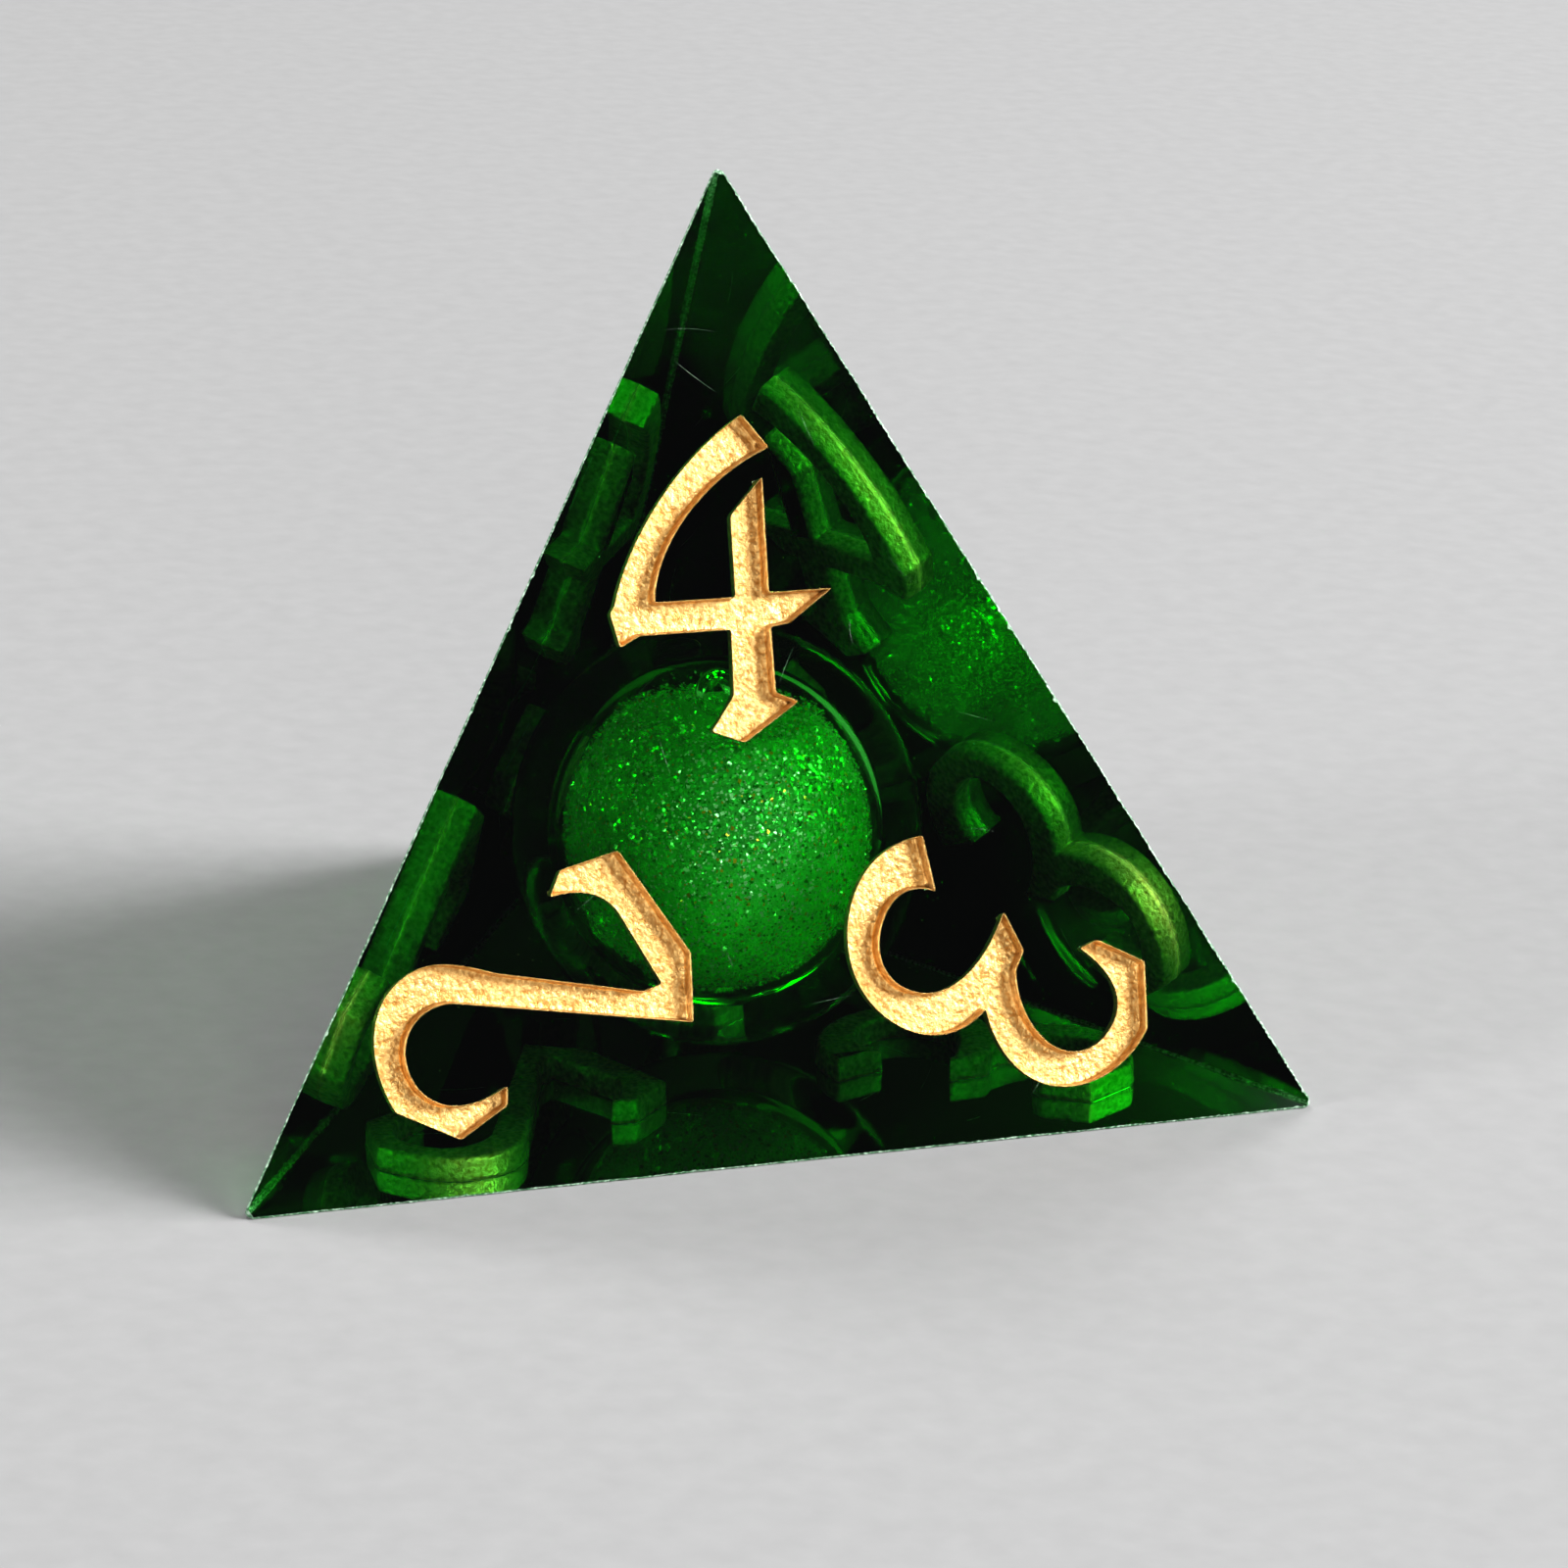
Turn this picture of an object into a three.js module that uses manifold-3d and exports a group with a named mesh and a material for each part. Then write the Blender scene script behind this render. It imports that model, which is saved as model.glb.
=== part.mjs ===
// A four-sided die cast in clear green resin around a liquid-filled ball.
// Millimetres, +Z up. The die rests on its base face, the origin is the centre of
// that face, and one side face looks towards -Y.
import * as THREE from 'three';
import { mergeVertices } from 'three/addons/utils/BufferGeometryUtils.js';
import Module from 'manifold-3d';

// Driving dimensions.
const edge = 22;              // sharp corner to sharp corner, before polishing
const pourRise = 0.5;         // how far the joint of the two pours lies above the side faces' centres
const edgeFlat = 0.1;         // width of the flat that polishing leaves along an edge
const cornerLoss = 0.22;      // how much of each corner's point is worn away
const faceCover = 0.34;       // resin left between the core ball and each face
const engraveDepth = 0.45;    // depth of the engraved numerals
const paintThickness = 0.14;  // gold paint lying in the numerals
const numeralTopGap = 3.55;   // bare face between a corner and the top of its numerals
const coreWall = 0.8;         // wall of the clear core ball
const fillHole = 0.55;        // radius of the hole the core is filled through
const bubbleRadius = 0.5;     // air bubble left in the core
const wallLayer = 0.17;       // clear liquid between the core wall and the glitter
const bond = 0.02;            // gap left at each bonded surface
const slip = 0.05;            // room around the contents, which turn inside flat-sided walls

// Sizes that follow from the edge of a regular tetrahedron.
const height = edge * Math.sqrt(2 / 3);
const faceDistance = height / 4;
const cornerDistance = 3 * faceDistance;
const edgeDistance = edge / (2 * Math.SQRT2);
const coreCentre = new THREE.Vector3(0, 0, faceDistance);

const pourHeight = height / 3 + pourRise;
const socketRadius = faceDistance - faceCover;
const shellRadius = socketRadius - bond;
const cavityRadius = shellRadius - coreWall;
const liquidRadius = cavityRadius - slip;
const cloudRadius = liquidRadius - wallLayer;
const bubbleHeight = cavityRadius + 0.03 - bubbleRadius;
const cloudTop = bubbleHeight - 0.85 * bubbleRadius;

// Solids are joined and cut with manifold-3d.
const wasm = await Module();
wasm.setup();

function solidOf(geometry) {
  const bare = geometry.index ? geometry.clone() : geometry;
  bare.deleteAttribute('normal');
  bare.deleteAttribute('uv');
  const merged = mergeVertices(bare, 1e-5);
  return new wasm.Manifold(new wasm.Mesh({
    numProp: 3,
    vertProperties: new Float32Array(merged.attributes.position.array),
    triVerts: new Uint32Array(merged.index.array),
  }));
}

function geometryOf(solid) {
  const mesh = solid.getMesh();
  const geometry = new THREE.BufferGeometry();
  geometry.setAttribute('position', new THREE.BufferAttribute(mesh.vertProperties, 3));
  geometry.setIndex(new THREE.BufferAttribute(mesh.triVerts, 1));
  geometry.computeVertexNormals();
  return geometry;
}

const die = new THREE.Group();
die.name = 'polyhedral_die';

function addPiece(name, solid, look) {
  const piece = new THREE.Mesh(geometryOf(solid), new THREE.MeshStandardMaterial(look));
  piece.name = name;
  die.add(piece);
}

// A ball about the centre of the core, with its poles on the upright axis.
function coreBall(radius) {
  const ball = new THREE.SphereGeometry(radius, 28, 18);
  ball.rotateX(Math.PI / 2);
  ball.translate(coreCentre.x, coreCentre.y, coreCentre.z);
  return solidOf(ball);
}

// A block wider than the die, from one height to another.
function slab(low, high) {
  const block = new THREE.BoxGeometry(4 * edge, 4 * edge, high - low);
  block.translate(0, 0, (low + high) / 2);
  return solidOf(block);
}

// A slab of waste lying outside the plane at a distance from the core's centre.
function waste(direction, distance) {
  const block = new THREE.BoxGeometry(2 * edge, 2 * edge, edge);
  block.translate(0, 0, edge / 2 + distance);
  const turn = new THREE.Quaternion().setFromUnitVectors(new THREE.Vector3(0, 0, 1), direction);
  block.applyQuaternion(turn);
  block.translate(coreCentre.x, coreCentre.y, coreCentre.z);
  return solidOf(block);
}

// Corners, named by the number that each one carries.
const lean = (turn) => {
  const angle = THREE.MathUtils.degToRad(turn);
  const reach = edge / Math.sqrt(3);
  return new THREE.Vector3(reach * Math.cos(angle), reach * Math.sin(angle), 0);
};
const corners = {
  1: lean(90),
  2: lean(210),
  3: lean(330),
  4: new THREE.Vector3(0, 0, height),
};
const faces = {
  front: [4, 2, 3],
  right: [4, 3, 1],
  left: [4, 1, 2],
  base: [1, 3, 2],
};

// Body: a sharp tetrahedron with its edges and corners taken off.
const corner = Object.values(corners);
const tetrahedron = new THREE.BufferGeometry();
tetrahedron.setAttribute('position', new THREE.Float32BufferAttribute(
  corner.flatMap((point) => point.toArray()), 3));
tetrahedron.setIndex([0, 2, 1, 0, 3, 2, 0, 1, 3, 1, 2, 3]);
let body = solidOf(tetrahedron);

const halfDihedral = Math.atan(Math.SQRT1_2);
const edgeLoss = edgeFlat / (2 * Math.tan(halfDihedral));
for (let i = 0; i < 4; i += 1) {
  const outward = corner[i].clone().sub(coreCentre).normalize();
  body = body.subtract(waste(outward, cornerDistance - cornerLoss));
  for (let j = i + 1; j < 4; j += 1) {
    const middle = corner[i].clone().add(corner[j]).divideScalar(2).sub(coreCentre).normalize();
    body = body.subtract(waste(middle, edgeDistance - edgeLoss));
  }
}

// Numerals. Each is drawn upright with its corner of the face above it and the centre
// of the face at 0, 0. The pen is on a grid whose top, 91.5, is the gap below the corner.
const unit = (edge / Math.sqrt(3) - numeralTopGap) / 91.5;
const pen = {
  1: (s) => {
    s.moveTo(5, 89);
    s.lineTo(-2, 85);
    s.bezierCurveTo(-5, 79, -9, 75, -15, 73);
    s.lineTo(-12, 69);
    s.lineTo(-4, 73);
    s.lineTo(-4, 32);
    s.lineTo(-12, 27);
    s.lineTo(-5, 22);
    s.lineTo(11, 26);
    s.lineTo(5, 32);
  },
  2: (s) => {
    s.moveTo(-21, 34);
    s.lineTo(-10, 27);
    s.lineTo(14, 28);
    s.lineTo(17.5, 39.5);
    s.lineTo(14.5, 44);
    s.bezierCurveTo(12.5, 38, 9, 34.5, 4, 34.5);
    s.lineTo(-11.5, 35);
    s.lineTo(-10.5, 39);
    s.lineTo(9, 61);
    s.bezierCurveTo(16, 67, 19, 71, 18.5, 77);
    s.bezierCurveTo(18, 85, 10, 91, -1, 91.5);
    s.lineTo(-12.5, 84);
    s.lineTo(-12.5, 73);
    s.lineTo(-9.5, 71);
    s.bezierCurveTo(-9.5, 80, -5, 85.5, 1, 85.5);
    s.bezierCurveTo(10, 85.5, 14, 76, 8, 69.5);
  },
  3: (s) => {
    s.moveTo(-12, 28.5);
    s.bezierCurveTo(-8, 23, -3, 20.5, 2.5, 20.5);
    s.bezierCurveTo(14, 20.5, 23, 29, 23, 40);
    s.bezierCurveTo(23, 47, 19, 52.5, 12.5, 54.5);
    s.bezierCurveTo(17.5, 58.5, 20.5, 64, 20.5, 69.5);
    s.bezierCurveTo(20.5, 78.5, 12, 86.5, 1.5, 87);
    s.lineTo(-10, 81);
    s.lineTo(-9.5, 70);
    s.lineTo(-6.5, 67.5);
    s.bezierCurveTo(-5.5, 75.5, -2, 80, 3, 80);
    s.bezierCurveTo(9, 80, 13, 76, 13, 71);
    s.bezierCurveTo(13, 65.5, 8.5, 59.5, 3, 57);
    s.lineTo(-1, 57);
    s.lineTo(-6, 50);
    s.bezierCurveTo(6, 51, 16, 46.5, 16, 37.5);
    s.bezierCurveTo(16, 31.5, 11, 28, 5, 28);
    s.bezierCurveTo(0, 28, -3, 31, -3.5, 35.5);
  },
  4: (s) => {
    s.moveTo(0.5, 78.5);
    s.bezierCurveTo(-13, 71, -24.5, 56, -28, 44);
    s.lineTo(-29, 42.5);
    s.lineTo(-27.5, 36);
    s.lineTo(-23.5, 38);
    s.lineTo(-5, 38);
    s.lineTo(-5.5, 25.5);
    s.lineTo(-10.5, 19);
    s.lineTo(-4, 16.5);
    s.lineTo(7.5, 23.5);
    s.lineTo(3, 25.5);
    s.lineTo(3, 38);
    s.lineTo(7, 38.5);
    s.lineTo(16, 44.5);
    s.lineTo(3.2, 44.5);
    s.lineTo(3.7, 66.5);
    s.lineTo(-3.3, 59.5);
    s.lineTo(-3.6, 44);
    s.lineTo(-20, 44);
    s.bezierCurveTo(-19, 55, -8, 67, 5.5, 72);
  },
};

// The closed outline of a numeral in millimetres, corners as drawn and curves in short chords.
function outlineOf(number) {
  const shape = new THREE.Shape();
  pen[number](shape);
  const points = [];
  for (const point of shape.getPoints(7)) {
    const last = points[points.length - 1];
    if (!last || last.distanceTo(point) > 0.4) points.push(point);
  }
  return points.map((point) => point.clone().multiplyScalar(unit));
}

// The same outline with every side moved inwards, so that paint lies clear of the walls.
function inset(points, amount) {
  const inward = THREE.ShapeUtils.isClockWise(points) ? -1 : 1;
  return points.map((point, i) => {
    const before = points[(i + points.length - 1) % points.length];
    const after = points[(i + 1) % points.length];
    const a = point.clone().sub(before).normalize();
    const b = after.clone().sub(point).normalize();
    const normalA = new THREE.Vector2(-a.y, a.x);
    const normalB = new THREE.Vector2(-b.y, b.x);
    const mitre = normalA.add(normalB).normalize();
    const stretch = Math.max(mitre.dot(normalB), 0.3);
    return point.clone().addScaledVector(mitre, (inward * amount) / stretch);
  });
}

// A numeral's solid, from one height to another above its face.
function numeralSolid(points, low, high, place) {
  const block = new THREE.ExtrudeGeometry(new THREE.Shape(points), {
    depth: high - low, bevelEnabled: false, steps: 1,
  });
  block.translate(0, 0, low);
  block.applyMatrix4(place);
  return solidOf(block);
}

const inlays = [];
for (const [face, numbers] of Object.entries(faces)) {
  const centre = new THREE.Vector3();
  for (const number of numbers) centre.addScaledVector(corners[number], 1 / 3);
  const outward = centre.clone().sub(coreCentre).normalize();
  for (const number of numbers) {
    const upward = corners[number].clone().sub(centre).normalize();
    const rightward = upward.clone().cross(outward);
    const place = new THREE.Matrix4().makeBasis(rightward, upward, outward).setPosition(centre);
    const outline = outlineOf(number);
    body = body.subtract(numeralSolid(outline, -engraveDepth, 1, place));
    const floor = -engraveDepth + bond;
    const paint = numeralSolid(inset(outline, bond), floor, floor + paintThickness, place);
    inlays.push([`numeral_${face}_${number}`, paint]);
  }
}

// The two resin pours meet on a level plane above the lower numerals and below the upper
// ones. The core sits in the first pour, and the second closes the socket over it.
body = body.subtract(coreBall(socketRadius));
const resin = { color: 0x0b5a1c, roughness: 0.06, metalness: 0 };
addPiece('resin_first_pour', body.intersect(slab(-edge, pourHeight)), resin);
addPiece('resin_second_pour', body.intersect(slab(pourHeight + bond, 2 * edge)), resin);

for (const [name, solid] of inlays) {
  addPiece(name, solid, { color: 0xd9a04a, roughness: 0.38, metalness: 1 });
}

// Core ball: two clear half shells joined at its middle. The upper one has a fill hole
// on its far side, closed by a plug that is flush with both surfaces.
const clear = { color: 0xd8f2dc, roughness: 0.03, metalness: 0 };
const fillAxis = new THREE.Vector3(0, 1, 0.75).normalize();

function fillRod(radius) {
  const rod = new THREE.CylinderGeometry(radius, radius, shellRadius, 28);
  rod.translate(0, shellRadius, 0);
  const turn = new THREE.Quaternion().setFromUnitVectors(new THREE.Vector3(0, 1, 0), fillAxis);
  rod.applyQuaternion(turn);
  rod.translate(coreCentre.x, coreCentre.y, coreCentre.z);
  return solidOf(rod);
}

const shell = coreBall(shellRadius).subtract(coreBall(cavityRadius));
addPiece('core_shell_lower', shell.intersect(slab(-edge, faceDistance)), clear);
addPiece('core_shell_upper',
  shell.intersect(slab(faceDistance + bond, 2 * edge)).subtract(fillRod(fillHole)), clear);
addPiece('core_fill_plug', shell.intersect(fillRod(fillHole - bond)), clear);

// Contents: the carrier liquid fills the ball but for a round pocket of air at its top,
// and the glitter cloud hangs in it below the bubble.
const bubble = new THREE.SphereGeometry(bubbleRadius, 18, 12);
bubble.rotateX(Math.PI / 2);
bubble.translate(coreCentre.x, coreCentre.y, coreCentre.z + bubbleHeight);
const hollow = coreBall(cloudRadius + slip)
  .intersect(slab(-edge, faceDistance + cloudTop + slip));
addPiece('core_liquid', coreBall(liquidRadius).subtract(hollow).subtract(solidOf(bubble)),
  { color: 0x2fae4a, roughness: 0.02, metalness: 0 });
addPiece('glitter_cloud', coreBall(cloudRadius).intersect(slab(-edge, faceDistance + cloudTop)),
  { color: 0x1fbf3c, roughness: 0.35, metalness: 0.4 });

export default die;
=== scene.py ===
import math
import random
import bmesh
import bpy
from mathutils import Matrix, Vector, geometry, noise


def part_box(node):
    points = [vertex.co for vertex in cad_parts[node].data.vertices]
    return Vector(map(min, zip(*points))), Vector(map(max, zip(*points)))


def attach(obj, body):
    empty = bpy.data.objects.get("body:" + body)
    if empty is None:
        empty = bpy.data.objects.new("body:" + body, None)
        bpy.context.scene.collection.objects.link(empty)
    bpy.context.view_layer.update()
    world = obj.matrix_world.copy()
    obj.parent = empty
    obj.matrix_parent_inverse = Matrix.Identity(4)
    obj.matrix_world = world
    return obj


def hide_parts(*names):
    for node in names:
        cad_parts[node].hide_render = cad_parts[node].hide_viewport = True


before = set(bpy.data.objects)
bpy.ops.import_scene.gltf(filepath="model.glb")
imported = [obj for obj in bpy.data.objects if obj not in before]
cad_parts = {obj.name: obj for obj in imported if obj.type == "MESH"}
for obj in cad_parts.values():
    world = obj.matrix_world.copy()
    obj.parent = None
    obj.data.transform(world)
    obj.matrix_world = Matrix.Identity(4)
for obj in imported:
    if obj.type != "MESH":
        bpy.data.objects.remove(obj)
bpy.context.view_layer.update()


# ---- Resin body --------------------------------------------------------------------
# The body of the die: clear resin dyed deep green, cast in two pours around the core and
# polished by hand on flat plates until the faces are flat and the edges sharp. The joint
# between the pours heals as the resin cures, so the two are one clear piece to the eye.
mm = 0.001
edge = 22 * mm
height = edge * math.sqrt(2 / 3)
core_centre = Vector((0, 0, height / 4))
corner_reach = edge / math.sqrt(3)
corner_loss = 0.24 * mm
frost_width = 0.075 * mm
pen_unit = (corner_reach - 3.55 * mm) / 91.5


def base_corner(turn):
    angle = math.radians(turn)
    return Vector((corner_reach * math.cos(angle), corner_reach * math.sin(angle), 0))


corners = {
    1: base_corner(90),
    2: base_corner(210),
    3: base_corner(330),
    4: Vector((0, 0, height)),
}
faces = {
    "front": (4, 2, 3),
    "right": (4, 3, 1),
    "left": (4, 1, 2),
    "base": (1, 3, 2),
}


def face_centre(face):
    return sum((corners[number] for number in faces[face]), Vector()) / 3


# How fast a face narrows towards a corner: half its width for each millimetre of height.
side_slope = math.tan(math.radians(30))


def numeral_place(face, number):
    """Stands a numeral upright on its face, with its corner above it."""
    centre = face_centre(face)
    outward = (centre - core_centre).normalized()
    upward = (corners[number] - centre).normalized()
    rightward = upward.cross(outward)
    place = Matrix((rightward, upward, outward)).transposed().to_4x4()
    place.translation = centre
    return place


def engraver():
    """A pen that follows lines and curves, and gives back the points it passed."""
    path = []

    def start(x, y):
        path.append(Vector((x, y)))

    def line(x, y):
        path.append(Vector((x, y)))

    def curve(x1, y1, x2, y2, x3, y3):
        begin = path[-1].copy()
        for step in range(1, 17):
            t = step / 16
            a = begin.lerp(Vector((x1, y1)), t)
            b = Vector((x1, y1)).lerp(Vector((x2, y2)), t)
            c = Vector((x2, y2)).lerp(Vector((x3, y3)), t)
            path.append(a.lerp(b, t).lerp(b.lerp(c, t), t))

    return path, start, line, curve


def outline_one():
    path, start, line, curve = engraver()
    start(5, 89)
    line(-2, 85)
    curve(-5, 79, -9, 75, -15, 73)
    line(-12, 69)
    line(-4, 73)
    line(-4, 32)
    line(-12, 27)
    line(-5, 22)
    line(11, 26)
    line(5, 32)
    return path


def outline_two():
    path, start, line, curve = engraver()
    start(-21, 34)
    line(-10, 27)
    line(14, 28)
    line(17.5, 39.5)
    line(14.5, 44)
    curve(12.5, 38, 9, 34.5, 4, 34.5)
    line(-11.5, 35)
    line(-10.5, 39)
    line(9, 61)
    curve(16, 67, 19, 71, 18.5, 77)
    curve(18, 85, 10, 91, -1, 91.5)
    line(-12.5, 84)
    line(-12.5, 73)
    line(-9.5, 71)
    curve(-9.5, 80, -5, 85.5, 1, 85.5)
    curve(10, 85.5, 14, 76, 8, 69.5)
    return path


def outline_three():
    path, start, line, curve = engraver()
    start(-12, 28.5)
    curve(-8, 23, -3, 20.5, 2.5, 20.5)
    curve(14, 20.5, 23, 29, 23, 40)
    curve(23, 47, 19, 52.5, 12.5, 54.5)
    curve(17.5, 58.5, 20.5, 64, 20.5, 69.5)
    curve(20.5, 78.5, 12, 86.5, 1.5, 87)
    line(-10, 81)
    line(-9.5, 70)
    line(-6.5, 67.5)
    curve(-5.5, 75.5, -2, 80, 3, 80)
    curve(9, 80, 13, 76, 13, 71)
    curve(13, 65.5, 8.5, 59.5, 3, 57)
    line(-1, 57)
    line(-6, 50)
    curve(6, 51, 16, 46.5, 16, 37.5)
    curve(16, 31.5, 11, 28, 5, 28)
    curve(0, 28, -3, 31, -3.5, 35.5)
    return path


def outline_four():
    path, start, line, curve = engraver()
    start(0.5, 78.5)
    curve(-13, 71, -24.5, 56, -28, 44)
    line(-29, 42.5)
    line(-27.5, 36)
    line(-23.5, 38)
    line(-5, 38)
    line(-5.5, 25.5)
    line(-10.5, 19)
    line(-4, 16.5)
    line(7.5, 23.5)
    line(3, 25.5)
    line(3, 38)
    line(7, 38.5)
    line(16, 44.5)
    line(3.2, 44.5)
    line(3.7, 66.5)
    line(-3.3, 59.5)
    line(-3.6, 44)
    line(-20, 44)
    curve(-19, 55, -8, 67, 5.5, 72)
    return path


def soften(path):
    """Rounds each sharp turn a little, as the engraving tool does, and evens the points."""
    softened = []
    count = len(path)
    for i, point in enumerate(path):
        before = path[i - 1]
        after = path[(i + 1) % count]
        turn = (point - before).angle(after - point, 0.0)
        if turn < math.radians(18):
            softened.append(point)
            continue
        reach = min(0.55, (point - before).length * 0.4, (after - point).length * 0.4)
        enter = point + (before - point).normalized() * reach
        leave = point + (after - point).normalized() * reach
        softened.append(enter)
        softened.append((enter + leave) / 4 + point / 2)
        softened.append(leave)
    even = []
    count = len(softened)
    for i, point in enumerate(softened):
        after = softened[(i + 1) % count]
        span = (after - point).length
        pieces = max(1, round(span / 1.4))
        for piece in range(pieces):
            even.append(point.lerp(after, piece / pieces))
    return [point * pen_unit for point in even]


def twice_area(path):
    total = 0
    for i, point in enumerate(path):
        after = path[(i + 1) % len(path)]
        total += point.x * after.y - after.x * point.y
    return total


numeral_outlines = {}
for number, draw in ((1, outline_one), (2, outline_two), (3, outline_three), (4, outline_four)):
    drawn = soften(draw())
    if twice_area(drawn) < 0:
        drawn.reverse()
    numeral_outlines[number] = drawn


def move_in(path, amount):
    """The outline moved towards its inside by an amount, or outwards if it is negative."""
    moved = []
    count = len(path)
    for i, point in enumerate(path):
        first = (point - path[i - 1]).normalized()
        second = (path[(i + 1) % count] - point).normalized()
        inward = Vector((-first.y - second.y, first.x + second.x)).normalized()
        stretch = max(inward.dot(Vector((-second.y, second.x))), 0.45)
        moved.append(point + inward * (amount / stretch))
    return moved


def add_ring(bm, path, level, place):
    return [bm.verts.new(place @ Vector((point.x, point.y, level))) for point in path]


def bridge(bm, ring_a, ring_b, slot=0, smooth=True):
    count = len(ring_a)
    for i in range(count):
        j = (i + 1) % count
        strip = bm.faces.new((ring_a[i], ring_a[j], ring_b[j], ring_b[i]))
        strip.material_index = slot
        strip.smooth = smooth


def ring_edges(bm, ring):
    edges = []
    for i, vert in enumerate(ring):
        after = ring[(i + 1) % len(ring)]
        edges.append(bm.edges.get((vert, after)) or bm.edges.new((vert, after)))
    return edges


def fill_flat(bm, edges, outward, slot=0):
    """Fills a flat outline, with its holes, and turns the new faces outwards."""
    made = bmesh.ops.triangle_fill(bm, use_beauty=True, edges=edges, normal=outward)
    for item in made["geom"]:
        if isinstance(item, bmesh.types.BMFace):
            item.normal_update()
            if item.normal.dot(outward) < 0:
                item.normal_flip()
            item.material_index = slot
            item.smooth = False


polisher = random.Random(41)
resin_mesh = bmesh.new()
edge_lines = {}
corner_rims = {number: [] for number in corners}
edge_steps = 440
frost_share = {(1, 2): 0.9, (1, 3): 0.8, (1, 4): 1.0, (2, 3): 0.6, (2, 4): 0.5, (3, 4): 1.1}

# Each edge is a narrow frosted strip between two faces, with a ragged border on each.
for a in (1, 2, 3, 4):
    for b in range(a + 1, 5):
        along = (corners[b] - corners[a]).normalized()
        sides = [face for face, numbers in faces.items() if a in numbers and b in numbers]
        rows = {}
        start_at = corner_loss * 1.05
        seed = Vector((a * 3.7, b * 5.3, 0))
        for side_number, face in enumerate(sides):
            centre = face_centre(face)
            inward = centre - corners[a]
            inward = (inward - along * inward.dot(along)).normalized()
            row = []
            for step in range(edge_steps + 1):
                t = step / edge_steps
                distance = start_at + (edge - 2 * start_at) * t
                rough = noise.noise(seed + Vector((distance / mm * 0.9, side_number * 9, 0)))
                fine = noise.noise(seed + Vector((distance / mm * 17, side_number * 7, 4)))
                chip = max(0, noise.noise(seed + Vector((distance / mm * 5.3, 2, side_number))) - 0.42)
                width = frost_width * frost_share[(a, b)] * (1 + 0.3 * rough + 0.35 * fine + 2.4 * chip)
                point = corners[a] + along * distance + inward * width
                row.append(resin_mesh.verts.new(point))
            rows[face] = row
        middle = []
        outward = ((corners[a] + corners[b]) / 2 - core_centre).normalized()
        for step in range(edge_steps + 1):
            left = rows[sides[0]][step].co
            right = rows[sides[1]][step].co
            ridge = (left + right) / 2 + outward * frost_width * (0.16 + polisher.uniform(-0.12, 0.12))
            middle.append(resin_mesh.verts.new(ridge))
        for row in rows.values():
            for step in range(edge_steps):
                strip = resin_mesh.faces.new((row[step], row[step + 1], middle[step + 1], middle[step]))
                strip.material_index = 1
                strip.smooth = False
        edge_lines[(a, b)] = rows
        corner_rims[a].append((rows[sides[0]][0], middle[0], rows[sides[1]][0]))
        corner_rims[b].append((rows[sides[0]][-1], middle[-1], rows[sides[1]][-1]))

# Each corner's point is worn to a small uneven cap.
for number, rim in corner_rims.items():
    away = (corners[number] - core_centre).normalized()
    side = away.orthogonal().normalized()
    other = away.cross(side)
    around = {vert for trio in rim for vert in trio}
    hub = sum((vert.co for vert in around), Vector()) / len(around)

    def bearing(vert):
        offset = vert.co - hub
        return math.atan2(offset.dot(other), offset.dot(side))

    loop = sorted(around, key=bearing)
    cap = resin_mesh.verts.new(hub + away * 0.05 * mm)
    for i, vert in enumerate(loop):
        wedge = resin_mesh.faces.new((vert, loop[(i + 1) % len(loop)], cap))
        wedge.material_index = 1
        wedge.smooth = False

# The recess of a numeral narrows a little as it goes down and is rounded at its floor.
recess_steps = (
    (0.006, 0.010),
    (0.010, 0.10),
    (0.015, 0.28),
    (0.026, 0.395),
    (0.058, 0.438),
    (0.110, 0.450),
)
for face, numbers in faces.items():
    outward = (face_centre(face) - core_centre).normalized()
    border = []
    for (a, b), rows in edge_lines.items():
        if face in rows:
            row = rows[face]
            border += [resin_mesh.edges.get((row[i], row[i + 1])) for i in range(edge_steps)]
    for number in numbers:
        ends = []
        for (a, b), rows in edge_lines.items():
            if face in rows and number in (a, b):
                ends.append(rows[face][0 if number == a else -1])
        border.append(resin_mesh.edges.get(ends) or resin_mesh.edges.new(ends))
    for number in numbers:
        place = numeral_place(face, number)
        outline = numeral_outlines[number]
        mouth = add_ring(resin_mesh, outline, 0, place)
        border += ring_edges(resin_mesh, mouth)
        upper = mouth
        for inset, depth in recess_steps:
            lower = add_ring(resin_mesh, move_in(outline, inset * mm), -depth * mm, place)
            bridge(resin_mesh, upper, lower, smooth=False)
            upper = lower
        fill_flat(resin_mesh, ring_edges(resin_mesh, upper), outward)
    fill_flat(resin_mesh, border, outward)

bmesh.ops.recalc_face_normals(resin_mesh, faces=resin_mesh.faces)


def add_ball(bm, radius, centre, inside_out=False, smooth=True, segments=96, rings=64):
    made = bmesh.ops.create_uvsphere(bm, u_segments=segments, v_segments=rings, radius=radius)
    fresh = {face for vert in made["verts"] for face in vert.link_faces}
    for vert in made["verts"]:
        vert.co += centre
    for face in fresh:
        face.smooth = smooth
        if inside_out:
            face.normal_flip()
    return made["verts"]


# The resin wraps the core ball closely, so its socket is a ball-shaped hollow.
shell_low, shell_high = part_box("core_shell_lower")
shell_gap = 0.01 * mm
shell_radius = (shell_high.x - shell_low.x) / 2 + shell_gap
socket_layer = resin_mesh.verts.layers.float.new("socket_wall")
for vert in add_ball(resin_mesh, shell_radius + shell_gap, core_centre, inside_out=True,
                     smooth=False):
    vert[socket_layer] = 1


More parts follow.
